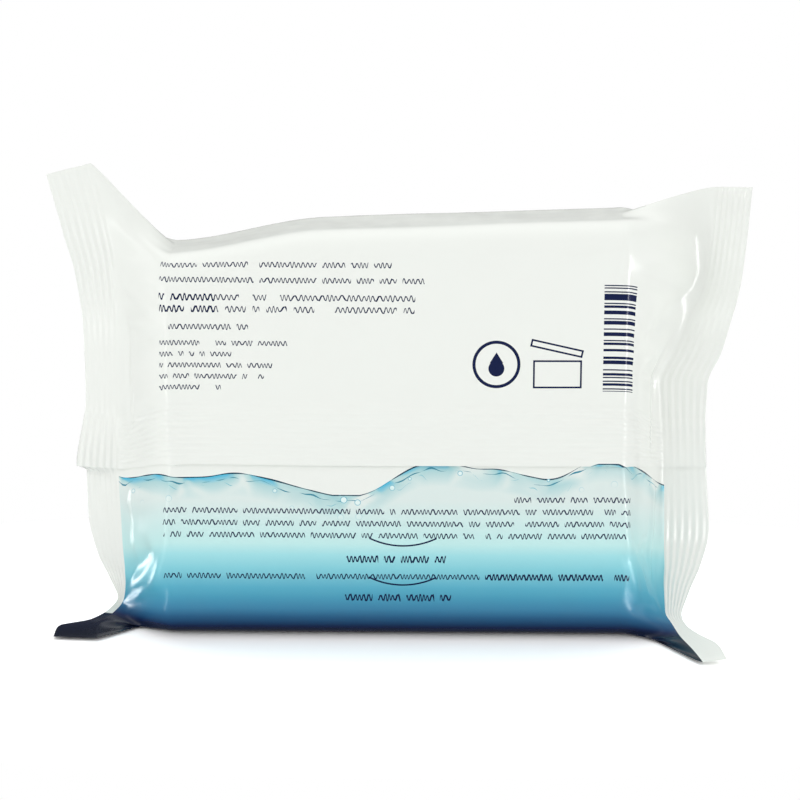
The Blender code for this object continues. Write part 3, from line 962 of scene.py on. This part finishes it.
def film_material(settings):
    """Printed polyester and polyethylene film: glossy, with a print under its clear outer layer."""
    made, shader, add = new_material("printed_polyester_film")

    # Place on the flat sheet in millimetres: along from its middle, and round from the bottom fold
    sheet = add("ShaderNodeUVMap", uv_map="film")
    size = (FILM_LENGTH / MM, GIRTH / MM, 0)
    place = add(VECTOR, (sheet, size, (-FILM_LENGTH / 2 / MM, 0, 0)), operation="MULTIPLY_ADD")
    along, high, _ = add(SPLIT, (place,), None).outputs
    rise = add("PINGPONG", (high, HALF_GIRTH / MM))

    # The water's surface: a line that swings by some 7 mm over about 40
    level = wander(add, along, WATER_LEVEL, Scale=0.027, Detail=1.4, Roughness=0.3)
    below = add("SUBTRACT", (level, rise))
    water = printed_water(add, along, rise, below, place, settings)

    # The print stops short of the fins, except on the underside at the left
    under = add("LESS_THAN", (rise, UNDERSIDE_RISE))
    left = add("MULTIPLY_ADD", (under, -UNDERSIDE_EXTRA, -PRINT_HALF_LENGTH))
    printed = add("LESS_THAN", (left, along))
    for less, more in ((along, PRINT_HALF_LENGTH), (0, below)):
        inside = add("LESS_THAN", (less, more))
        printed = add("MULTIPLY", (printed, inside))
    colour = add(MIX, {0: printed, 6: (*settings.white, 1), 7: water}, 2, data_type="RGBA")

    # Fine print, signs and bars in dark blue
    masks = printed_signs(add, place)
    group = print_rows_group()
    for block in PRINT_BLOCKS:
        sizes = {"Place": place, **dict(zip(ROW_SIZES, block))}
        masks.append(add("ShaderNodeGroup", sizes, node_tree=group))
    ink = masks[0]
    for mask in masks[1:]:
        ink = add("MAXIMUM", (ink, mask))
    colour = add(MIX, {0: ink, 6: colour, 7: (*settings.ink, 1)}, 2, data_type="RGBA")

    # Gloss: a smooth outer layer with faint streaks of drawn film, about 6 mm apart
    rough = wander(add, place, FILM_ROUGHNESS, dimensions="2D", Scale=0.16, Detail=2)
    feed(shader, {
        "Base Color": colour, "Roughness": rough, "IOR": 1.5, "Specular IOR Level": 0.4})
    return made


# The flap's band and printed line, in millimetres: how high the band reaches above the middle,
# the line's distance from the edge and half its width
FLAP_BAND_TOP = (-14, 2)
FLAP_BAND_FADE = 26
FLAP_LINE_INSET = 3
FLAP_LINE = 0.25
LABEL_ROUGHNESS = (0.3, 0.38)


def flap_material(settings):
    """Satin polypropylene label: white, with a pale band and a printed line inside its edge."""
    made, shader, add = new_material("satin_polypropylene_label")

    # Place on the flap in millimetres from its middle
    sheet = add("ShaderNodeUVMap", uv_map="label")
    place = add(VECTOR, (sheet, (1 / MM, 1 / MM, 0)), operation="MULTIPLY")
    along, high, _ = add(SPLIT, (place,), None).outputs

    # A pale band over the lower part, with a slow swell some 30 mm long
    level = wander(add, along, FLAP_BAND_TOP, Scale=0.03, Detail=1.5)
    below = add("SUBTRACT", (level, high))
    band = add(RANGE, (below, 0, FLAP_BAND_FADE, 0.25, 1))
    under = add("GREATER_THAN", (below, 0))
    band = add("MULTIPLY", (band, under))

    # A thin line inside the rounded edge
    corner = settings.corner / MM
    half = (settings.length / 2 / MM - corner, settings.height / 2 / MM - corner, 0)
    offset = beyond_box(add, place, (0, 0, 0), half)
    offset = add(VECTOR, (offset, (0, 0, 0)), operation="MAXIMUM")
    away = add(VECTOR, (offset,), "Value", operation="LENGTH")
    line = add("COMPARE", (away, corner - FLAP_LINE_INSET, FLAP_LINE))

    colour = (*settings.white, 1)
    for mask, tint in ((band, settings.band), (line, settings.line)):
        colour = add(MIX, {0: mask, 6: colour, 7: (*tint, 1)}, 2, data_type="RGBA")
    rough = wander(add, place, LABEL_ROUGHNESS, dimensions="2D", Scale=0.4)
    feed(shader, {"Base Color": colour, "Roughness": rough, "IOR": 1.49})
    return made


def frame_shift(points):
    """How far the design's own axes lie from the frame's, from the film's box."""
    low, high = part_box("film_pack")
    middle = (points.min(axis=(0, 1)) + points.max(axis=(0, 1))) / 2
    return np.array(((low[0] + high[0]) / 2 - middle[0], (low[1] + high[1]) / 2 - middle[1], 0))


class WIPES_OT_film_pack(bpy.types.Operator):
    """Skin the printed film over the block, its ends and its seals"""

    bl_idname = "wipes.film_pack"
    bl_label = "Film pack"

    def execute(self, context):
        settings = context.scene.wipes_film
        points, along, climbed = film_surface(settings)
        if not np.isfinite(points).all():
            raise RuntimeError("the film's points don't resolve at these sizes")
        points = points + frame_shift(points)
        across = np.broadcast_to(0.5 + along / FILM_LENGTH, climbed.shape)
        mesh = sheet_mesh("film_pack_fine", "film", points, across, climbed)
        weld(mesh)
        mesh.materials.append(film_material(settings))
        put_in_scene("printed_film", mesh, "film_pack")
        return {"FINISHED"}


class WIPES_OT_closing_flap(bpy.types.Operator):
    """Lay the self-adhesive closing flap on the front of the film"""

    bl_idname = "wipes.closing_flap"
    bl_label = "Closing flap"

    def execute(self, context):
        settings = context.scene.wipes_flap
        half = settings.length / 2
        across = np.sin(np.linspace(-1, 1, FLAP_COLUMNS + 1) * np.pi / 2) * half
        up = np.linspace(-1, 1, FLAP_ROWS + 1)
        points = np.zeros((len(up), len(across), 3))
        places = np.zeros((2, len(up), len(across)))
        for column, x in enumerate(across):
            into_corner = max(abs(x) - (half - settings.corner), 0)
            shoulder = settings.corner - np.sqrt(max(settings.corner ** 2 - into_corner ** 2, 0))
            z = up * (settings.height / 2 - shoulder)
            tongue = 1 - ease(2 * abs(z) / settings.tab_width)
            along = x + settings.tab * tongue * ease((x - half / 2) * 2 / half)
            lift = settings.gap + settings.lift * ease((along - half) / settings.tab)
            places[:, :, column] = along, z
            for row, height in enumerate(PACK_HEIGHT / 2 + z):
                point, normal = section_points(FRONT, along[row], np.array((face_place(height),)))
                points[row, column] = (point + normal * lift[row])[0]
        points = points + frame_shift(film_surface(context.scene.wipes_film)[0])
        mesh = sheet_mesh("closing_flap_fine", "label", points[:, ::-1], *places[..., ::-1])
        mesh.shade_smooth()
        mesh.materials.append(flap_material(settings))
        flap = put_in_scene("closing_flap", mesh, "reseal_flap")
        layer = flap.modifiers.new("label thickness", "SOLIDIFY")
        layer.thickness = settings.thickness
        layer.offset = -1
        return {"FINISHED"}


# Lamps: width and height of each, its place and its power in watts
SOFT_LAMPS = {
    "key": ((2.0, 1.6), (-0.7, -1.3, 0.95), 3.7),
    "fill": ((1.8, 1.4), (1.0, -1.2, 0.8), 2.4),
    "left side": ((1.0, 1.0), (-1.5, -0.4, 0.6), 3.2),
    "right side": ((1.0, 1.0), (1.5, -0.4, 0.6), 2.2),
}
# These two light the top and the front, and would show as a grey sheen in flat dark film
DULL_LAMPS = {
    "top": ((2.0, 1.0), (0, 0.7, 1.3), 11.5),
    "rear": ((1.8, 1.2), (0.3, 1.3, 0.7), 3),
}
# Narrow ones that only draw the bright lines along the block's upright edges
STRIP_LAMPS = {
    "left strip": ((0.1, 0.4), (-0.60, -0.46, -0.03), 0.5),
    "right strip": ((0.09, 0.4), (0.60, -0.50, -0.03), 1.8),
    "left rear strip": ((0.09, 0.4), (-0.60, 0.50, -0.03), 1),
    "right rear strip": ((0.09, 0.4), (0.60, 0.50, -0.03), 1),
}
LAMP_AIM = (0, 0, 0.05)
STRIP_AIMS = {"left": (-0.06, 0, 0), "right": (0.06, 0, 0)}

# The point that the camera looks at, from the middle of the film's box and above the table
LOOK_ACROSS = 1.02 * MM
LOOK_DEEP = -8.9 * MM
LOOK_HEIGHT = 66.2 * MM

FLOOR_HALF = 4
# The floor's own shade ends between these distances, in metres, with depth counted more
SHADE_FADE = (0.11, 0.24)
SHADE_SHAPE = (1, 2.2, 1)
# How much whiter the paper is to the camera than to the film
PAPER_BOOST = 1.42

# The backdrop's strength: in gloss dim up to the first of two heights, and as light from the
# back's side and from the front's
GLOSS_HEIGHTS = (0.4, 0.95)
GLOSS_STRENGTH = (0.08, 0.5)
LIGHT_STRENGTH = (0.82, 0.42)


class WIPES_OT_stage(bpy.types.Operator):
    """Set up the white floor, the soft lights and the camera"""

    bl_idname = "wipes.stage"
    bl_label = "Stage"

    def execute(self, context):
        settings = context.scene.wipes_stage
        context.scene.view_settings.view_transform = "Standard"
        add_floor(settings)
        add_lamps()
        add_world(context.scene, settings)
        add_camera(context.scene, settings)
        return {"FINISHED"}


def add_floor(settings):
    """A paper floor that takes the pack's shadow and doesn't show in its gloss."""
    mesh = grid_mesh("floor", "floor", 1, 1, FLOOR_HALF)
    mesh.materials.append(floor_material(settings))
    floor = add_object("floor", mesh)
    floor.visible_glossy = False
    floor.visible_shadow = False


def add_lamps():
    """Large soft lamps all round, and narrow strips for the lines of gloss."""
    for lamps, diffuse, glossy in (
        (SOFT_LAMPS, True, True), (DULL_LAMPS, True, False), (STRIP_LAMPS, False, True),
    ):
        for name, (size, place, power) in lamps.items():
            aim = LAMP_AIM if diffuse else STRIP_AIMS[name.split()[0]]
            light = bpy.data.lights.new(name, "AREA")
            light.shape = "RECTANGLE"
            light.size, light.size_y = size
            light.energy = power
            lamp = add_object(name, light)
            lamp.location = place
            lamp.rotation_euler = (Vector(aim) - Vector(place)).to_track_quat("-Z", "Y").to_euler()
            lamp.visible_diffuse = diffuse
            lamp.visible_glossy = glossy


def add_world(scene, settings):
    """White to the camera, stronger from the back's side as light, and dim low down in gloss."""
    world = bpy.data.worlds.new("white studio")
    world.use_nodes = True
    add = partial(add_node, world.node_tree)
    rays = add("ShaderNodeLightPath", out=None).outputs
    way = add("ShaderNodeTexCoord", out="Generated")
    _, deep, high = add(SPLIT, (way,), None).outputs
    shown = add(RANGE, (high, *GLOSS_HEIGHTS, *GLOSS_STRENGTH))
    spread = add(RANGE, (deep, -1, 1, *LIGHT_STRENGTH))
    strength = add(MIX, {0: rays["Is Glossy Ray"], 2: spread, 3: shown})
    strength = add("MAXIMUM", (rays["Is Camera Ray"], strength))
    feed(world.node_tree.nodes["Background"], ((*settings.background, 1), strength))
    scene.world = world


def add_camera(scene, settings):
    """The camera of the photograph, opposite the back."""
    lens = bpy.data.cameras.new("camera")
    lens.sensor_fit = "HORIZONTAL"
    lens.angle = settings.view_angle
    camera = add_object("camera", lens)
    low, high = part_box("film_pack")
    middle = ((low[0] + high[0]) / 2, (low[1] + high[1]) / 2)
    target = Vector((middle[0] + LOOK_ACROSS, middle[1] + LOOK_DEEP, LOOK_HEIGHT))
    away = Vector((0, -np.cos(settings.elevation), np.sin(settings.elevation)))
    camera.location = target + away * settings.distance
    turn = (-away).to_track_quat("-Z", "Y").to_matrix() @ Matrix.Rotation(settings.roll, 3, "Z")
    camera.rotation_euler = turn.to_euler()
    scene.camera = camera


def floor_material(settings):
    """Matt white paper sweep: an even white to the film, and plain background far from it."""
    made, shader, add = new_material("matt_paper_sweep")
    rays = add("ShaderNodeLightPath", out=None).outputs
    white = (*settings.background, 1)
    bright = (*(value * PAPER_BOOST for value in settings.background), 1)
    colour = add(MIX, {0: rays["Is Camera Ray"], 6: white, 7: bright}, 2, data_type="RGBA")
    feed(shader, {"Base Color": colour, "Roughness": 0.9, "Specular IOR Level": 0.1})

    # Past the pack's own shadow the paper is plain background
    place = add("ShaderNodeTexCoord", out="Object")
    place = add(VECTOR, (place, SHADE_SHAPE), operation="MULTIPLY")
    away = add(VECTOR, (place,), "Value", operation="LENGTH")
    far = add(RANGE, (away, *SHADE_FADE, 0, 1))
    far = add("MULTIPLY", (far, rays["Is Camera Ray"]))
    plain = add("ShaderNodeEmission", (white, 1))
    mixed = add("ShaderNodeMixShader", (far, shader.outputs[0], plain))
    feed(made.node_tree.nodes["Material Output"], (mixed,))
    return made


class WIPES_PT_pack(bpy.types.Panel):
    """Lists the pack's pieces, the stage and their sizes and colours"""

    bl_label = "Wet wipes pack"
    bl_space_type = "VIEW_3D"
    bl_region_type = "UI"
    bl_category = "Wipes"

    def draw(self, context):
        for settings, operator in (
            (context.scene.wipes_film, WIPES_OT_film_pack),
            (context.scene.wipes_flap, WIPES_OT_closing_flap),
            (context.scene.wipes_stage, WIPES_OT_stage),
        ):
            box = self.layout.box()
            for name in type(settings).__annotations__:
                box.prop(settings, name)
            box.operator(operator.bl_idname)


SETTINGS = {
    "wipes_film": WipesFilmSettings,
    "wipes_flap": WipesFlapSettings,
    "wipes_stage": WipesStageSettings,
}
CLASSES = (
    *SETTINGS.values(), WIPES_OT_film_pack, WIPES_OT_closing_flap, WIPES_OT_stage, WIPES_PT_pack)


def register():
    for item in CLASSES:
        bpy.utils.register_class(item)
    for name, settings in SETTINGS.items():
        setattr(bpy.types.Scene, name, bpy.props.PointerProperty(type=settings))


def unregister():
    for name in SETTINGS:
        delattr(bpy.types.Scene, name)
    for item in reversed(CLASSES):
        bpy.utils.unregister_class(item)


def main():
    register()
    bpy.ops.wipes.film_pack()
    bpy.ops.wipes.closing_flap()
    bpy.ops.wipes.stage()


if __name__ == "__main__":
    main()
